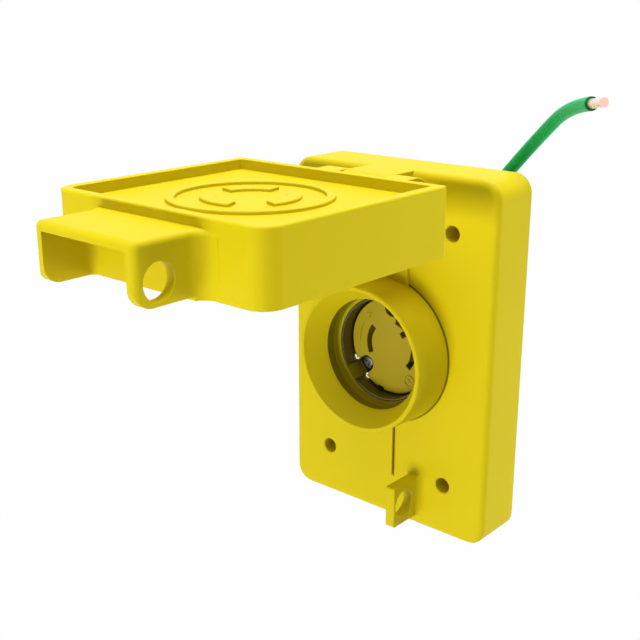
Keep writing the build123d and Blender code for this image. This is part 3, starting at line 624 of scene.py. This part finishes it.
band_mesh = bmesh.new()
band_mesh.from_mesh(nodes["face_band"].data)
band_mesh.transform(nodes["face_band"].matrix_world)
bmesh.ops.remove_doubles(band_mesh, verts=band_mesh.verts, dist=BAND_WELD_MM * MM)
trimmed_band = piece_from(band_mesh, "trimmed_band")
for notch_turn in NOTCH_TURNS:
    notch_frame = face_frame() @ Matrix.Rotation(math.radians(notch_turn), 4, "Z")
    for side in (-1, 1):
        waste_mesh = bmesh.new()
        raised_corner(waste_mesh, notch_frame, claw_waste(side), WASTE_HEIGHT_MM)
        carve(trimmed_band, piece_from(waste_mesh, "claw_waste"))
trimmed_band.data.shade_smooth()
trimmed_band.data.set_sharp_from_angle(angle=BAND_SMOOTH)
even_normals = trimmed_band.modifiers.new("even_normals", "WEIGHTED_NORMAL")
even_normals.keep_sharp = True
even_normals.weight = LARGE_FACES_LEAD
plated_band.cover(trimmed_band)
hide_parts("face_band")
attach(trimmed_band, "base")


# Contacts: three sprung channels, stamped and folded from brass sheet, one
# behind each slot. Each sits in a chamber of the base, and its tab lies on the
# floor of a terminal pocket.
CONTACT_BRASS = paint(196, 158, 82), paint(222, 188, 112)
BRASS_DEPTH_MM = 0.008
contact_brass = Finish("contact_brass", {"Metallic": 1.0})
contact_brass.vary(
    Base_Color=contact_brass.mix(contact_brass.noise(2.0, 3.0), *CONTACT_BRASS),
    Roughness=0.3 + 0.18 * contact_brass.noise(0.7),
    Normal=contact_brass.bump(contact_brass.noise(0.4), BRASS_DEPTH_MM),
)
contact_brass.cover(*[nodes["contact_" + pole] for pole in ("line", "neutral", "ground")])


# Mounting strap and clamp plates: stamped from sheet steel and zinc-plated. Two
# screws draw the strap against the base's flange, and each terminal screw
# presses its plate down over a wire.
ZINC_GREY = paint(176, 178, 180), paint(206, 207, 206)
ZINC_DEPTH_MM = 0.006
zinc_steel = Finish("zinc_steel", {"Metallic": 1.0})
spangle = zinc_steel.noise(1.6, 4.0)
zinc_steel.vary(
    Base_Color=zinc_steel.mix(spangle, *ZINC_GREY),
    Roughness=0.3 + 0.2 * spangle,
    Normal=zinc_steel.bump(zinc_steel.noise(0.5), ZINC_DEPTH_MM),
)
zinc_steel.cover(nodes["mounting_strap"],
                 *[nodes["clamp_plate_" + pole] for pole in ("line", "neutral", "ground")])


# Screws: round-headed machine screws with a slotted cross recess and a rolled
# thread. The face's and the strap's are zinc-plated, the terminals' are brass,
# nickel-plated and green for the three poles.
THREAD_PITCH_MM = 0.8
THREAD_DEPTH_MM = 0.22
THREAD_START_MM = 0.3
RIDGE_FOOT = 0.46
RIDGE_CREST = 0.08
HEAD_ROUND_MM = 0.7
HEAD_STEPS = 4
TIP_TAPER_MM = 0.4
TIP_SHARE = 0.6
SCREW_DEPTH_MM = 0.006
RECESS_DEPTH_MM = 0.9
# Three boxes set on the crown cut the recess: a slot right across the head and
# a cross in its middle. Their sides are shares of the head's radius, and their
# heights are shares of the recess's depth.
RECESS_BARS = ((2.3, 1.1, 0.22), (1.1, 2.0, 0.3), (0.3, 2.0, 1.1))


def turned_piece(mesh, profile, steps=40):
    """Adds a solid of revolution about Y from (radius, y) points, poles first and last."""
    rings = []
    for radius, y in profile:
        if radius == 0:
            rings.append([mesh.verts.new((0, y, 0))])
            continue
        rings.append([
            mesh.verts.new((radius * math.cos(turn), y, radius * math.sin(turn)))
            for turn in (2 * math.pi * step / steps for step in range(steps))
        ])
    for before, after in zip(rings, rings[1:]):
        for step in range(steps):
            following = (step + 1) % steps
            corners = [before[step % len(before)], before[following % len(before)],
                       after[following % len(after)], after[step % len(after)]]
            mesh.faces.new(list(dict.fromkeys(corners)))


def thread_ridge(mesh, radius, start, end, steps=32):
    """Adds a helical ridge on a shank between two places on Y."""
    pitch = THREAD_PITCH_MM * MM
    root = radius - THREAD_DEPTH_MM * MM
    way = 1 if end > start else -1
    turns = abs(end - start) / pitch - 1
    rows = []
    for step in range(int(turns * steps) + 1):
        turn = 2 * math.pi * step / steps
        middle = start + way * pitch * (0.5 + step / steps)
        rows.append([
            mesh.verts.new((reach * math.cos(turn), middle + shift * pitch, reach * math.sin(turn)))
            for reach, shift in ((root, -RIDGE_FOOT), (radius, -RIDGE_CREST),
                                 (radius, RIDGE_CREST), (root, RIDGE_FOOT))
        ])
    for before, after in zip(rows, rows[1:]):
        for index in range(len(before)):
            following = (index + 1) % len(before)
            mesh.faces.new((before[index], before[following], after[following], after[index]))
    mesh.faces.new(rows[0])
    mesh.faces.new(rows[-1])


def block(mesh, size, middle, turn):
    """Adds a box turned about Y and set on a middle point."""
    made = bmesh.ops.create_cube(mesh, size=1.0)
    bmesh.ops.scale(mesh, vec=size, verts=made["verts"])
    bmesh.ops.rotate(mesh, cent=(0, 0, 0), matrix=Matrix.Rotation(turn, 3, "Y"),
                     verts=made["verts"])
    bmesh.ops.translate(mesh, vec=middle, verts=made["verts"])


def machine_screw(node, finish, slot, shank_mm, head_mm, head_height_mm, towards_user, turn):
    """A screw in the place of its CAD node, its recess turned by an angle."""
    low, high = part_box(node)
    middle = (low + high) / 2
    way = -1 if towards_user else 1
    crown = low.y if towards_user else high.y
    tip = high.y if towards_user else low.y
    seat = crown - way * head_height_mm * MM
    head, shank, rounding = head_mm * MM, shank_mm * MM, HEAD_ROUND_MM * MM
    core = shank - THREAD_DEPTH_MM * MM
    profile = [(0, crown)]
    for step in range(HEAD_STEPS + 1):
        lean = math.radians(90 * step / HEAD_STEPS)
        profile.append((head - rounding + rounding * math.sin(lean),
                        crown - way * rounding * (1 - math.cos(lean))))
    profile += [(head, seat), (core, seat), (core, tip + way * TIP_TAPER_MM * MM),
                (core * TIP_SHARE, tip), (0, tip)]
    mesh = bmesh.new()
    turned_piece(mesh, profile)
    screw = piece_from(mesh, node + "_screw")
    for across, deep, along in RECESS_BARS:
        cutter_mesh = bmesh.new()
        block(cutter_mesh, (across * head, deep * RECESS_DEPTH_MM * MM, along * head),
              (0, crown, 0), turn)
        carve(screw, piece_from(cutter_mesh, "recess_cutter"))
    mesh = bmesh.new()
    mesh.from_mesh(screw.data)
    thread_ridge(mesh, shank, seat - way * THREAD_START_MM * MM, tip)
    mesh.to_mesh(screw.data)
    mesh.free()
    screw.data.transform(Matrix.Translation((middle.x, 0, middle.z)))
    finish.cover(screw)
    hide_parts(node)
    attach(screw, "base")


def screw_finish(name, dark, light):
    """A plated metal with faint patches between two colours."""
    finish = Finish(name, {"Metallic": 1.0})
    patches = finish.noise(0.9, 3.0)
    finish.vary(
        Base_Color=finish.mix(patches, dark, light),
        Roughness=0.26 + 0.2 * patches,
        Normal=finish.bump(finish.noise(0.3), SCREW_DEPTH_MM),
    )
    return finish


zinc_screw = screw_finish("zinc_screw", paint(150, 152, 154), paint(190, 191, 192))
brass_screw = screw_finish("brass_screw", paint(190, 150, 74), paint(218, 182, 104))
nickel_screw = screw_finish("nickel_screw", paint(186, 184, 178), paint(216, 214, 208))
green_screw = screw_finish("green_screw", paint(24, 96, 46), paint(52, 140, 74))

# Each screw: its node, finish and slot, the radii of its shank and head and the
# head's height in millimetres, whether the head faces the user, and the turn at
# which its recess came to rest.
for screw in (
    ("face_screw_top", zinc_screw, "plated_steel", 1.3, 2.1, 1.8, True, 0.4),
    ("face_screw_lower", zinc_screw, "plated_steel", 1.3, 2.1, 1.8, True, 1.1),
    ("strap_screw_left", zinc_screw, "plated_steel", 1.4, 2.9, 1.9, False, 0.2),
    ("strap_screw_right", zinc_screw, "plated_steel", 1.4, 2.9, 1.9, False, 0.9),
    ("terminal_screw_line", brass_screw, "brass", 1.7, 2.9, 2.2, False, 0.5),
    ("terminal_screw_neutral", nickel_screw, "nickel", 1.7, 2.9, 2.2, False, 1.3),
    ("terminal_screw_ground", green_screw, "green_screw", 1.7, 2.9, 2.2, False, 0.1),
):
    machine_screw(*screw)
